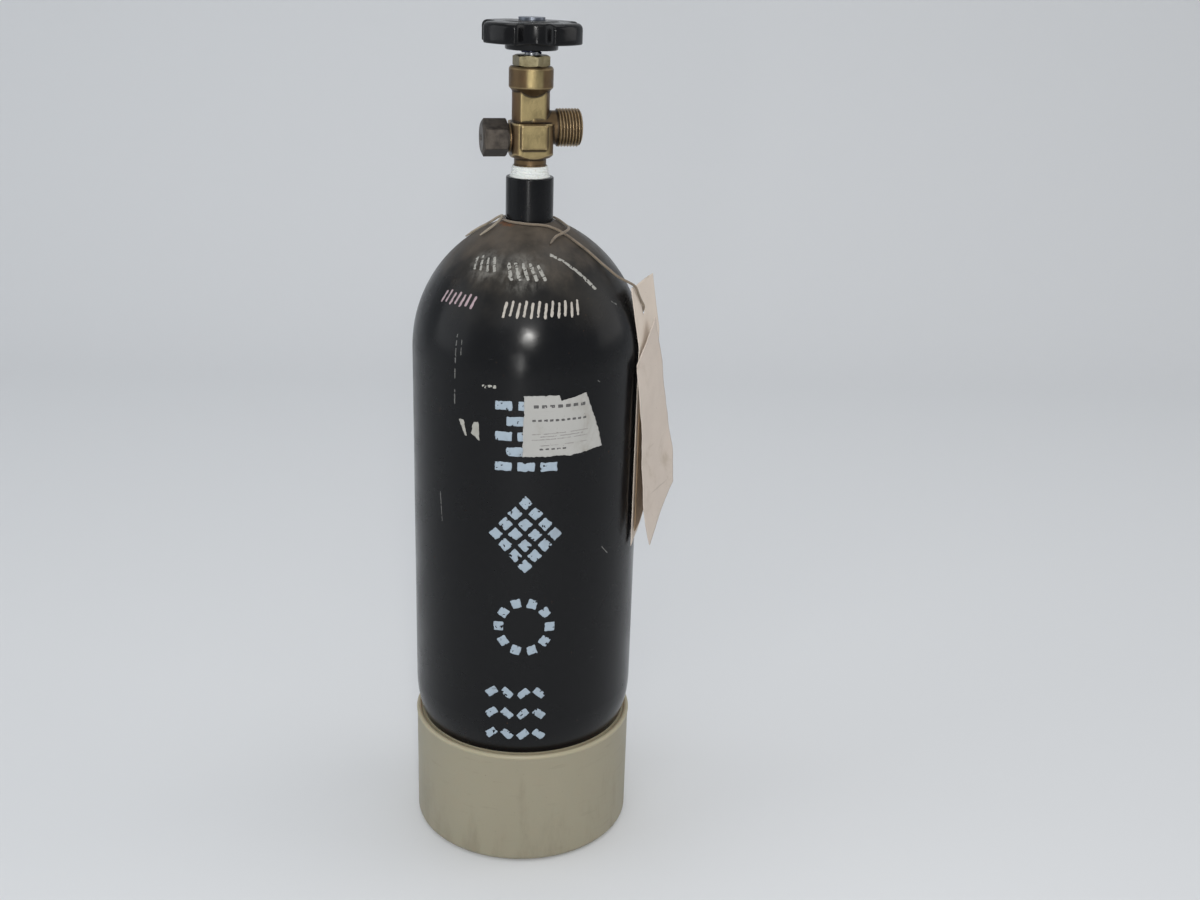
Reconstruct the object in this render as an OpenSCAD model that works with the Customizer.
// Small high-pressure gas cylinder with a hand-wheel valve, standing in a
// moulded foot boot, with its tie string, tags and torn label.
// Millimetres, +Z up. The origin is the centre of the boot's underside, +X is
// the way the valve's outlet points, and the cylinder's axis is the Z axis.

/* [Cylinder] */
// Outside diameter of the steel cylinder
cyl_d = 140; // [110:1:180]
// Thickness of the straight side wall
cyl_wall = 4.5; // [3:0.1:6]
// Thickness of the round bottom at its lowest point
bottom_t = 6.5; // [4:0.1:9]
// Length of the straight side, from the round bottom to the shoulder
side_len = 222; // [170:1:420]
// How much longer the shoulder arc's radius is than the cylinder's
shoulder_extra = 12; // [4:0.5:30]
// How much the shoulder is thicker than the side wall
shoulder_gain = 3.5; // [0:0.1:6]
// Outside diameter of the neck
neck_d = 28.2; // [26:0.1:36]
// Height of the neck above the shoulder
neck_h = 25.5; // [18:0.5:40]

/* [Boot] */
// How far the boot stands out beyond the cylinder's side
boot_proud = 0.2; // [0:0.05:2]
// Thickness of the boot's wall
boot_wall = 4.3; // [3:0.1:8]
// Height of the boot
boot_h = 78; // [50:1:110]
// Thickness of the boot's floor
boot_floor = 5; // [3:0.5:10]
// Radius of the boot's lower outer edge
boot_edge_r = 4; // [1:0.5:8]
// Height of the rolled bead along the boot's rim
bead_h = 3.5; // [3:0.5:8]
// Number of ribs inside the boot that carry the round bottom
boot_ribs = 8; // [4:1:12]

/* [Valve] */
// Diameter of the valve's tapered inlet thread at its large end
inlet_d = 20; // [18:0.1:23]
// Length of the tapered inlet thread
inlet_len = 28; // [22:1:34]
// Length of that thread left showing above the neck
inlet_out = 6.5; // [3:0.5:9]
// Thickness of the sealing tape in the thread
tape_t = 0.2; // [0.1:0.05:0.4]
// Width of the valve's square lower block
block_w = 24; // [22:0.5:32]
// Height of the valve's square lower block
block_h = 20.2; // [18:0.2:26]
// Diameter of the valve's upper body
upper_d = 22; // [20:0.5:25]
// Diameter of the collar at the top of the valve
collar_d = 25.8; // [23:0.2:32]
// Major diameter of the outlet's thread
outlet_d = 22; // [20:0.5:26]
// Length of the outlet's thread
outlet_len = 14; // [10:0.5:20]
// Diameter of the socket in the outlet's end, where a nipple plugs in
socket_d = 14.5; // [12:0.5:15]
// Depth of that socket
socket_len = 6; // [4:0.5:8]
// Gas passage through the outlet
passage_d = 5; // [3:0.5:6]
// Opening of the valve's seat
orifice_d = 3.4; // [2:0.2:4]
// Diameter of the bore that the plug runs in
plug_bore_d = 12; // [11:0.2:14]
// Lift of the plug for one turn of the handwheel
plug_pitch = 1.5; // [1:0.25:2]
// Turns of the handwheel from shut to fully open
open_turns = 1.5; // [0.5:0.25:2]

/* [Spindle and handwheel] */
// Diameter of the spindle where it passes the gland nut
spindle_d = 8; // [6:0.5:9]
// Across flats of the gland nut
gland_af = 19; // [17:0.5:22]
// Overall diameter of the handwheel
wheel_d = 60.6; // [50:1:80]
// Thickness of the handwheel's lobes
wheel_t = 11.7; // [8:0.5:16]
// Width of each of the four lobes
lobe_w = 26; // [18:1:30]
// Diameter of the handwheel's hub skirt
skirt_d = 31; // [24:1:34]
// Wire of the spring under the handwheel
spring_wire = 1.5; // [0.8:0.1:2]

/* [Safety device] */
// Across flats of the safety cap
cap_af = 19; // [17:0.5:22]
// Length of the safety cap
cap_len = 14.6; // [12:0.5:20]
// Diameter of the threaded stub inside the cap
stub_d = 14; // [12:0.5:15]

/* [Running clearances] */
// Radial clearance of the spindle and of the plug's thread
run_gap = 0.1; // [0.05:0.01:0.2]
// Clearance between the driving tang and its slot, each side
tang_gap = 0.15; // [0.1:0.01:0.3]
// Clearance under faces that turn on each other
face_gap = 0.05; // [0.02:0.01:0.1]

/* [Tags and label] */
// Turn of the marked front about the axis, seen from above
face_turn = -11; // [-45:1:45]
// Thickness of the paper tags
paper_t = 0.5; // [0.3:0.1:0.8]
// Diameter of the hole punched in the tags
tag_hole_d = 5; // [4:0.5:7]
// Thickness of the torn label
label_t = 0.15; // [0.1:0.05:0.3]
// Diameter of the tie string
string_d = 1.6; // [1:0.1:2]

/* [Hidden] */
$fn = 96;
eps = 0.01;
far = 400;

// Cylinder
cyl_r = cyl_d / 2;
neck_r = neck_d / 2;
boot_r = cyl_r + boot_proud;
rest_gap = 0.1;
rim_r = boot_r - boot_wall;
ball_z = boot_h + sqrt(pow(cyl_r + rest_gap, 2) - pow(rim_r, 2));
shoulder_z = ball_z + side_len;
shoulder_r = cyl_r + shoulder_extra;
neck_z = shoulder_z + sqrt(pow(shoulder_r, 2) - pow(neck_r + shoulder_extra, 2));
neck_top = neck_z + neck_h;
neck_edge = 0.8;
in_r = cyl_r - cyl_wall;

// Valve levels
taper = 3 / 26;
inlet_top = neck_top + inlet_out;
inlet_bottom = inlet_top - inlet_len;
shank_d = inlet_d - 1.1;
shank_h = 4.6;
block_z = inlet_top + shank_h;
block_top = block_z + block_h;
block_corner = 4.5;
out_z = block_z + 17;
cap_z = block_z + 11.3;
seat_z = out_z - passage_d / 2;
collar_z = block_z + 39.8;
collar_top = block_z + 51.5;
flat_y = 8.2;
panel_w = 15;
panel_out = 0.8;

// Outlet and safety stub
relief_d = outlet_d - 2.5;
outlet_x = block_w / 2 + 3.3;
outlet_end = outlet_x + outlet_len;
boss_d = stub_d + 3;
boss_x = block_w / 2 + 1.4;
washer_t = 1;
cap_in = boss_x + washer_t;
cap_end = cap_in + cap_len;
cap_wall = 3.7;
disc_t = 0.3;
gasket_t = 1;
stub_end = cap_end - cap_wall - gasket_t - disc_t;

// Plug, spindle and gland
lift = plug_pitch * open_turns;
disc_d = 7;
disc_h = 3;
disc_z = seat_z + face_gap;
nose_h = 5.5;
nose_d = plug_bore_d - 3;
plug_top = seat_z + 16;
plug_r = plug_bore_d / 2 - run_gap;
tang_w = 4;
tang_l = 8.5;
tang_z = plug_top - 5.3;
slot_z = tang_z - lift - 0.4;
chamber_z = plug_top + lift + 0.35;
flange_z = chamber_z + face_gap;
flange_h = 3;
flange_top = flange_z + flange_h;
chamber_d = plug_bore_d + 1.8;
gland_thread_d = 16;
gland_z = collar_top - 12.3;
shoulder_bore_z = gland_z - 0.5;
nut_h = 6.3;
nut_top = collar_top + nut_h;
thrust_t = 0.8;

// Handwheel
wheel_turn = 4;
hub_z = nut_top + 2.8;
wheel_z = hub_z + 3.8;
wheel_top = wheel_z + wheel_t;
hub_top = wheel_top + 0.6;
hub_floor = hub_z + 4.6;
recess_d = spindle_d + 6;
square_w = 0.675 * spindle_d;
square_top = hub_top - 0.8;
screw_d = square_w - 1.8;
screw_len = 9;
head_d = 15.3;
head_h = 1.7;
notch_half = 45 - asin(lobe_w / wheel_d);
notch_r = 1.08 * wheel_d / 2 * sin(notch_half);
notch_at = wheel_d / 2 * cos(notch_half)
    + sqrt(pow(notch_r, 2) - pow(wheel_d / 2 * sin(notch_half), 2));
rim_round = 3.6;

// Tag planes, in the turned frame where the marked front faces -Y: a point,
// the turn of the plane from the Y axis and its lean away from the cylinder
tag_p = [cyl_r - 9.8, -25.4, shoulder_z + 42.5];
tag_turn = 19;
tag_lean = 10;
tag_bend = 35;
tag_hole = [18, 16.5];
card_out = 1.2;
slip_p = [cyl_r - 2.9, -28.6, shoulder_z - 2.5];
slip_turn = 26;
slip_lean = 3.6;

// Outlines as [along, down] from each plane's point
tag_upper = [[-0.5, -0.5], [47.5, 0], [46, 36], [-0.5, 36]];
tag_lower = [[-0.5, 0], [46, 0], [45, 60], [41, 105], [20, 118], [-1, 128]];
card_shape = [[0.5, 20], [41, 22], [40.5, 96], [36, 101], [12, 117], [1, 118.5]];
slip_shape = [[-6.5, -1], [24, -24], [32, 5], [37, 32], [41, 49], [46.5, 66],
              [46.5, 89], [38, 95], [16, 109], [3, 117], [-1.5, 88], [-2.5, 46]];

// Torn label, as [angle from the front, height above its lower edge]
label_z = shoulder_z - 47;
label_mid = 19;
label_shape = [[-1.6, 0.2], [8, 0], [15, 0.6], [22.3, -0.2], [31, 1.4], [39, 2.4],
               [36.5, 13], [33.5, 23], [28.9, 37], [22, 35], [16.4, 33.2],
               [15.4, 36.8], [6, 37], [-1.4, 36.7], [-1.1, 27], [-1.8, 16]];

// The tie string, in the turned frame. First the stretch on the tag, from behind
// its hole and up over its top edge, as [along, down, out]
string_tag = [[19.1, 18.1, -1], [18, 16.6, 0.25], [15.7, 13.8, 1.85], [12.3, 9.7, 1.6],
              [8.6, 5.1, 1.6], [5.5, 1.2, 1.8], [3.6, -1.2, 1.25], [2.2, -3.4, -0.9]];
// Then the stretch that lies on the shoulder and once round the neck to the
// short tail, as [angle from the front, radius, height over its rest]
string_lie = [[65.6, 54.8, 2.3], [63.6, 51.2, 1], [61.5, 47.6, 0.2], [59.2, 43.6, 0], [56.5, 39, 0], [53, 33.5, 0],
              [50, 28.5, 0], [44.5, 23, 0], [35, 19, 0], [20, 17, 0], [3, 16.4, 0],
              [-20, 15.6, 0], [-44, 15.4, 0], [-66, 15.4, 0], [-96, 15.4, 0],
              [-124, 15.4, 0], [-152, 15.4, 0], [-180, 15.4, 0], [-208, 15.4, 0],
              [-236, 15.6, 0], [-262, 17, 0], [-284, 21, 0.4], [-300, 25.5, 1.9],
              [-315, 27.5, 1.9], [-328, 28.5, 0.5], [-338, 32.5, 0]];
// The two loose ends, hooked over the loop on the other side, likewise
ends_lie = [[-95, 37.5, 0], [-95, 30, 0], [-94, 23.5, 0.2], [-91, 18.5, 1.3],
            [-84, 15.6, 2], [-74, 15.6, 2], [-66, 18.5, 1.3], [-64, 24, 0.2],
            [-64, 31.5, 0]];
string_rest = 0.15;
string_sides = 8;
string_steps = 2;

// Helpers -------------------------------------------------------------------

// Radius of the inlet thread at height z
function inlet_r(z) = inlet_d / 2 - (inlet_top - z) * taper / 2;

// Unit vector
function unit(v) = v / norm(v);

// Point a share t of the way from b to c on the smooth curve through a, b, c, d
function between(a, b, c, d, t) =
    0.5 * (2 * b + (c - a) * t + (2 * a - 5 * b + 4 * c - d) * t * t
           + (3 * b - a - 3 * c + d) * t * t * t);

// A route's points with steps points to each stretch
function smooth(p, steps) = let (n = len(p) - 1) concat(
    [for (i = [0 : n - 1]) for (k = [0 : steps - 1])
        between(i == 0 ? 2 * p[0] - p[1] : p[i - 1], p[i], p[i + 1],
                i == n - 1 ? 2 * p[n] - p[n - 1] : p[i + 2], k / steps)],
    [p[n]]);

// Direction of the line at each of its points
function headings(p) = let (n = len(p) - 1)
    [for (i = [0 : n]) unit(p[min(i + 1, n)] - p[max(i - 1, 0)])];

// Side vectors that turn as little as possible along the headings
function sides_of(t, i) = i == 0
    ? [unit(cross(t[0], abs(t[0].z) < 0.9 ? [0, 0, 1] : [1, 0, 0]))]
    : let (done = sides_of(t, i - 1), u = done[i - 1])
      concat(done, [unit(u - (u * t[i]) * t[i])]);

// A round tube of diameter d along the points p
module tube(p, d, sides) {
    t = headings(p);
    u = sides_of(t, len(p) - 1);
    points = [for (i = [0 : len(p) - 1]) let (w = cross(t[i], u[i]))
        for (k = [0 : sides - 1]) let (a = 360 * k / sides)
            p[i] + d / 2 * (cos(a) * u[i] + sin(a) * w)];
    walls = [for (i = [0 : len(p) - 2]) for (k = [0 : sides - 1])
        let (a = i * sides + k, b = i * sides + (k + 1) % sides)
            [a, b, b + sides, a + sides]];
    last = (len(p) - 1) * sides;
    ends = [[for (k = [sides - 1 : -1 : 0]) k], [for (k = [0 : sides - 1]) last + k]];
    polyhedron(points, [for (f = concat(walls, ends)) [for (j = [len(f) - 1 : -1 : 0]) f[j]]]);
}

// Stands children that lie along Z at the height z, pointing along +X or -X
module along_x(z, side = 1) {
    translate([0, 0, z])
        rotate([0, side * 90, 0])
            children();
}

// A square with rounded corners, as true arcs
module round_square(w, r) {
    union() {
        square([w, w - 2 * r], center = true);
        square([w - 2 * r, w], center = true);
        for (x = [-1, 1], y = [-1, 1])
            translate([x, y] * (w / 2 - r))
                circle(r);
    }
}

// A hexagonal prism with its six corners turned off at top and bottom
module hex_body(af, h, bottom_cut, top_cut) {
    ac = af / cos(30);
    intersection() {
        cylinder(h = h, d = ac, $fn = 6);
        union() {
            cylinder(h = bottom_cut + eps, d1 = ac - 4 * bottom_cut, d2 = ac + 0.1);
            translate([0, 0, bottom_cut])
                cylinder(h = h - bottom_cut - top_cut, d = ac + 0.1);
            translate([0, 0, h - top_cut - eps])
                cylinder(h = top_cut + eps, d1 = ac + 0.1, d2 = ac - 4 * top_cut);
        }
    }
}

// A point of the tag's upper plane
function on_tag(q) = let (c = cos(tag_lean), n = sin(tag_lean))
    tag_p + q[0] * [sin(tag_turn), cos(tag_turn), 0]
          + q[1] * [cos(tag_turn) * n, -sin(tag_turn) * n, -c]
          + q[2] * [cos(tag_turn) * c, -sin(tag_turn) * c, n];

// A point on the fold below it, out from the plane by out
function fold_p(out) = let (d = tag_bend * tan(tag_lean) + out)
    tag_p + [d * cos(tag_turn), -d * sin(tag_turn), -tag_bend];

// A point of the string's middle where it lies on the shoulder
function on_shoulder(q) = let (r = q[1] + shoulder_extra,
                               k = 1 + (string_d / 2 + string_rest + q[2]) / shoulder_r,
                               s = r * k - shoulder_extra)
    [s * sin(q[0]), -s * cos(q[0]), shoulder_z + k * sqrt(pow(shoulder_r, 2) - pow(r, 2))];

// Puts a flat outline drawn as [along, down] into a leaning upright plane
module hung_sheet(p, turn, lean, shape, t, out = 0) {
    translate(p)
        rotate([0, 0, 90 - turn])
            rotate([90 - lean, 0, 0])
                translate([0, 0, out])
                    linear_extrude(t)
                        difference() {
                            polygon([for (q = shape) [q.x, -q.y]]);
                            children();
                        }
}

// Cylinder and boot -----------------------------------------------------------

// Everything within the cylinder's outside, as a half section
module outer_section() {
    union() {
        intersection() {
            translate([0, ball_z])
                circle(cyl_r);
            translate([0, ball_z - far])
                square(far);
        }
        translate([0, ball_z])
            square([cyl_r, side_len]);
        intersection() {
            translate([-shoulder_extra, shoulder_z])
                circle(shoulder_r);
            translate([0, shoulder_z])
                square(far);
        }
        translate([0, neck_z - 2])
            square([neck_r, neck_h + 2 - neck_edge]);
        translate([0, neck_z - 2])
            square([neck_r - neck_edge, neck_h + 2]);
        translate([neck_r - neck_edge, neck_top - neck_edge])
            circle(neck_edge);
    }
}

// The gas space inside the cylinder, as a half section
module inner_section() {
    up = bottom_t - cyl_wall;
    union() {
        intersection() {
            translate([0, ball_z + up])
                circle(in_r);
            translate([0, ball_z + up - far])
                square(far);
        }
        translate([0, ball_z + up])
            square([in_r, side_len - up - shoulder_gain]);
        intersection() {
            translate([-shoulder_extra, shoulder_z - shoulder_gain])
                circle(in_r + shoulder_extra);
            translate([0, shoulder_z - shoulder_gain])
                square(far);
        }
    }
}

module cylinder_shell() {
    low_r = inlet_r(inlet_bottom) + tape_t;
    color([0.07, 0.07, 0.08])
        rotate_extrude()
            difference() {
                outer_section();
                inner_section();
                polygon([[0, neck_z - 15], [low_r, neck_z - 15], [low_r, inlet_bottom],
                         [inlet_r(neck_top) + tape_t, neck_top], [inlet_r(neck_top) + tape_t, far * 2],
                         [0, far * 2]]);
            }
}

module foot_boot() {
    color([0.66, 0.62, 0.5])
        difference() {
            union() {
                rotate_extrude()
                    difference() {
                        union() {
                            square([boot_r - boot_edge_r, boot_h]);
                            translate([0, boot_edge_r])
                                square([boot_r, boot_h - boot_edge_r - bead_h / 2]);
                            translate([boot_r - boot_edge_r, boot_edge_r])
                                circle(boot_edge_r);
                            translate([boot_r - bead_h / 2 + 0.4, boot_h - bead_h / 2])
                                circle(d = bead_h);
                        }
                        translate([0, boot_floor])
                            square([rim_r, boot_h]);
                    }
                intersection() {
                    translate([0, 0, boot_floor - 1])
                        cylinder(h = boot_h - boot_floor - bead_h, r = rim_r + 1);
                    for (i = [0 : boot_ribs - 1])
                        rotate([0, 0, (i + 0.5) * 360 / boot_ribs])
                            translate([18, -1.75, 0])
                                cube([cyl_r, 3.5, boot_h]);
                }
            }
            translate([0, 0, ball_z])
                sphere(cyl_r + rest_gap);
        }
}

// Valve -----------------------------------------------------------------------

// The forging's outside
module valve_outside() {
    union() {
        translate([0, 0, inlet_bottom])
            cylinder(h = inlet_len, r1 = inlet_r(inlet_bottom), r2 = inlet_d / 2);
        translate([0, 0, inlet_top])
            cylinder(h = shank_h, d = shank_d);
        intersection() {
            translate([0, 0, block_z])
                linear_extrude(block_h)
                    round_square(block_w, block_corner);
            translate([0, 0, block_z])
                union() {
                    cylinder(h = 3.5, r1 = block_w / 2 - 0.5, r2 = block_w * 0.68);
                    translate([0, 0, 3.5])
                        cylinder(h = block_h, r = block_w * 0.68);
                }
        }
        intersection() {
            translate([0, 0, block_z])
                cylinder(h = collar_top - block_z - 2, d = upper_d);
            translate([-far / 2, -flat_y, block_z])
                cube([far, 2 * flat_y, far]);
        }
        translate([0, 0, collar_z - collar_d / 4])
            cylinder(h = collar_d / 4, d1 = collar_d / 2, d2 = collar_d);
        translate([0, 0, collar_z])
            cylinder(h = collar_top - collar_z - 1.2, d = collar_d);
        translate([0, 0, collar_top - 1.2])
            cylinder(h = 1.2, d1 = collar_d, d2 = collar_d - 1.6);
        valve_panel();
        along_x(out_z)
            cylinder(h = outlet_x, d = relief_d);
        along_x(out_z)
            translate([0, 0, outlet_x])
                cylinder(h = outlet_len - 1.4, d = outlet_d);
        along_x(out_z)
            translate([0, 0, outlet_end - 1.4])
                cylinder(h = 1.4, d1 = outlet_d, d2 = outlet_d - 2.8);
        along_x(cap_z, -1)
            cylinder(h = boss_x, d = boss_d);
        along_x(cap_z, -1)
            cylinder(h = stub_end, d = stub_d);
    }
}

// The raised plain plate on the block's front and back
module valve_panel() {
    h = block_h - 6.5;
    for (side = [-1, 1])
        translate([0, side * block_w / 2, block_z + 5.7 + h / 2])
            cube([panel_w, 2 * panel_out, h], center = true);
}

module valve_body() {
    color([0.6, 0.47, 0.22])
        difference() {
            valve_outside();
            translate([0, 0, inlet_bottom - 1])
                cylinder(h = cap_z - inlet_bottom - 2, d = passage_d);
            translate([0, 0, inlet_bottom])
                cylinder(h = seat_z - inlet_bottom + 1, d = orifice_d);
            translate([0, 0, seat_z])
                cylinder(h = chamber_z - seat_z + 1, d = plug_bore_d);
            translate([0, 0, chamber_z])
                cylinder(h = shoulder_bore_z - chamber_z + 1, d = chamber_d);
            translate([0, 0, shoulder_bore_z])
                cylinder(h = far, d = gland_thread_d);
            along_x(out_z)
                cylinder(h = outlet_end + 1, d = passage_d);
            along_x(out_z)
                translate([0, 0, outlet_end - socket_len])
                    cylinder(h = socket_len + 1, d = socket_d);
            along_x(cap_z, -1)
                cylinder(h = stub_end + 1, d = orifice_d);
        }
}

module seal_tape() {
    skirt = 1.6;
    color([0.93, 0.93, 0.9])
        rotate_extrude()
            polygon([[inlet_r(inlet_bottom), inlet_bottom],
                     [inlet_r(inlet_bottom) + tape_t, inlet_bottom],
                     [inlet_r(neck_top) + tape_t, neck_top],
                     [neck_r - neck_edge - 2, neck_top],
                     [neck_r - neck_edge - 2.4, neck_top + 1],
                     [inlet_r(neck_top) + 0.65, neck_top + skirt + 0.8],
                     [inlet_d / 2 + 0.35, inlet_top - 0.3],
                     [inlet_d / 2, inlet_top]]);
}

module gland_nut() {
    color([0.62, 0.55, 0.33])
        difference() {
            union() {
                translate([0, 0, gland_z])
                    cylinder(h = collar_top - gland_z, d = gland_thread_d);
                translate([0, 0, collar_top])
                    rotate([0, 0, face_turn - 9 + 2 * 60])
                        rotate([0, 0, -90 + 30])
                            hex_body(gland_af, nut_h, 0.7, 0.9);
            }
            translate([0, 0, gland_z - 1])
                cylinder(h = far, d = spindle_d + 2 * run_gap);
        }
}

module gland_packing() {
    low = flange_top + face_gap + thrust_t;
    color([0.9, 0.9, 0.86])
        translate([0, 0, low])
            difference() {
                cylinder(h = gland_z - low, d = chamber_d - 0.1);
                translate([0, 0, -1])
                    cylinder(h = far, d = spindle_d + 2 * run_gap);
            }
}

module thrust_washer() {
    color([0.7, 0.6, 0.35])
        translate([0, 0, flange_top + face_gap])
            difference() {
                cylinder(h = thrust_t, d = chamber_d - 0.1);
                translate([0, 0, -1])
                    cylinder(h = far, d = spindle_d + 2 * run_gap);
            }
}

// Moving parts ----------------------------------------------------------------

module spindle() {
    color([0.3, 0.33, 0.4])
        difference() {
            union() {
                translate([-tang_l / 2, -tang_w / 2, tang_z])
                    cube([tang_l, tang_w, flange_z - tang_z + 1]);
                translate([0, 0, flange_z])
                    cylinder(h = flange_h, d = chamber_d - 0.6);
                translate([0, 0, flange_z])
                    cylinder(h = hub_floor - flange_z, d = spindle_d);
                translate([0, 0, (flange_z + square_top) / 2])
                    cube([square_w, square_w, square_top - flange_z], center = true);
            }
            translate([0, 0, hub_top - screw_len])
                cylinder(h = far, d = screw_d);
        }
}

module valve_plug() {
    color([0.66, 0.53, 0.27])
        difference() {
            union() {
                translate([0, 0, disc_z + 0.5])
                    cylinder(h = nose_h, d = nose_d);
                translate([0, 0, disc_z + nose_h])
                    cylinder(h = plug_top - disc_z - nose_h, r = plug_r);
            }
            translate([0, 0, disc_z - 1])
                cylinder(h = disc_h + 1, d = disc_d);
            translate([-plug_bore_d, -tang_w / 2 - tang_gap, slot_z])
                cube([2 * plug_bore_d, tang_w + 2 * tang_gap, far]);
        }
}

module seat_disc() {
    color([0.92, 0.9, 0.82])
        translate([0, 0, disc_z])
            cylinder(h = disc_h, d = disc_d);
}

module handwheel() {
    color([0.05, 0.05, 0.06])
        rotate([0, 0, wheel_turn])
            difference() {
                union() {
                    rotate_extrude()
                        union() {
                            translate([0, hub_z])
                                square([skirt_d / 2, hub_top - hub_z]);
                            translate([0, wheel_z])
                                square([wheel_d / 2 - rim_round, wheel_t]);
                            translate([0, wheel_z])
                                square([wheel_d / 2, wheel_t - rim_round]);
                            translate([wheel_d / 2 - rim_round, wheel_top - rim_round])
                                circle(rim_round);
                        }
                }
                for (a = [45 : 90 : 315])
                    rotate([0, 0, a + face_turn])
                        translate([notch_at, 0, wheel_z - 1])
                            cylinder(h = wheel_t + 2, r = notch_r);
                for (a = [0 : 90 : 270])
                    rotate([0, 0, a + face_turn])
                        translate([wheel_d / 2 - 9, 0, wheel_z - 1])
                            cylinder(h = wheel_t - 2.5, r = min(6, lobe_w / 2 - 4));
                translate([0, 0, hub_z - 1])
                    cylinder(h = hub_floor - hub_z + 1, d = recess_d);
                rotate([0, 0, -wheel_turn])
                    translate([0, 0, hub_top])
                        cube([square_w + 0.1, square_w + 0.1, 2 * far / 10], center = true);
            }
}

module handwheel_spring() {
    turns = 3;
    steps = 16;
    mean_r = spindle_d / 2 + 0.5 + spring_wire / 2;
    low = nut_top + 0.2 + spring_wire / 2;
    high = hub_floor - 0.2 - spring_wire / 2;
    color([0.2, 0.22, 0.35])
        tube([for (i = [0 : turns * steps])
                 let (a = 360 * i / steps)
                     [mean_r * cos(a), mean_r * sin(a), low + (high - low) * i / (turns * steps)]],
             spring_wire, 8);
}

module handwheel_screw() {
    color([0.42, 0.44, 0.48])
        difference() {
            union() {
                translate([0, 0, hub_top - screw_len + 1])
                    cylinder(h = screw_len - 1, d = screw_d);
                translate([0, 0, hub_top])
                    cylinder(h = head_h, d = head_d);
            }
            translate([-head_d, -0.7, hub_top + head_h - 1])
                cube([2 * head_d, 1.4, 2]);
        }
}

// Safety device -----------------------------------------------------------------

module safety_cap() {
    color([0.3, 0.25, 0.2])
        difference() {
            along_x(cap_z, -1)
                translate([0, 0, cap_in])
                    hex_body(cap_af, cap_len, 0.5, 1.3);
            along_x(cap_z, -1)
                translate([0, 0, cap_in - 1])
                    cylinder(h = cap_len - cap_wall + 1, d = stub_d);
            along_x(cap_z, -1)
                translate([0, 0, cap_in])
                    cylinder(h = far, d = 4);
        }
}

module burst_disc() {
    color([0.72, 0.45, 0.28])
        along_x(cap_z, -1)
            translate([0, 0, stub_end])
                cylinder(h = disc_t, d = stub_d - 0.4);
}

module disc_gasket() {
    color([0.85, 0.85, 0.8])
        along_x(cap_z, -1)
            translate([0, 0, stub_end + disc_t])
                difference() {
                    cylinder(h = gasket_t, d = stub_d - 0.4);
                    translate([0, 0, -1])
                        cylinder(h = 4, d = 5);
                }
}

module cap_washer() {
    color([0.35, 0.3, 0.24])
        along_x(cap_z, -1)
            translate([0, 0, boss_x])
                difference() {
                    cylinder(h = washer_t, d = boss_d - 0.6);
                    translate([0, 0, -1])
                        cylinder(h = 4, d = stub_d);
                }
}

// String, tags and label ----------------------------------------------------------

module tie_string() {
    color([0.45, 0.38, 0.29])
        rotate([0, 0, face_turn])
            tube(smooth(concat([for (q = string_tag) on_tag(q)],
                               [for (q = string_lie) on_shoulder(q)]), string_steps),
                 string_d, string_sides);
}

module string_ends() {
    color([0.55, 0.5, 0.42])
        rotate([0, 0, face_turn])
            tube(smooth([for (q = ends_lie) on_shoulder(q)], string_steps),
                 string_d, string_sides);
}

module hang_tag() {
    color([0.78, 0.72, 0.66])
        rotate([0, 0, face_turn])
            union() {
                hung_sheet(tag_p, tag_turn, tag_lean, tag_upper, paper_t)
                    translate([tag_hole.x, -tag_hole.y])
                        circle(d = tag_hole_d);
                hung_sheet(fold_p(0), tag_turn, 0, tag_lower, paper_t);
            }
}

module card_tag() {
    color([0.46, 0.35, 0.22])
        rotate([0, 0, face_turn])
            hung_sheet(fold_p(card_out), tag_turn, 0, card_shape, paper_t);
}

module front_slip() {
    color([0.76, 0.71, 0.65])
        rotate([0, 0, face_turn])
            hung_sheet(slip_p, slip_turn, slip_lean, slip_shape, paper_t);
}

module torn_label() {
    color([0.7, 0.7, 0.66])
        rotate([0, 0, face_turn + label_mid])
            intersection() {
                translate([0, 0, label_z - 5])
                    difference() {
                        cylinder(h = 50, r = cyl_r + label_t);
                        translate([0, 0, -1])
                            cylinder(h = 52, r = cyl_r);
                    }
                rotate([90, 0, 0])
                    linear_extrude(far)
                        polygon([for (q = label_shape)
                            [cyl_r * sin(q.x - label_mid), label_z + q.y]]);
            }
}

cylinder_shell();
foot_boot();
valve_body();
seal_tape();
gland_nut();
gland_packing();
thrust_washer();
spindle();
valve_plug();
seat_disc();
handwheel();
handwheel_spring();
handwheel_screw();
safety_cap();
burst_disc();
disc_gasket();
cap_washer();
tie_string();
string_ends();
hang_tag();
card_tag();
front_slip();
torn_label();
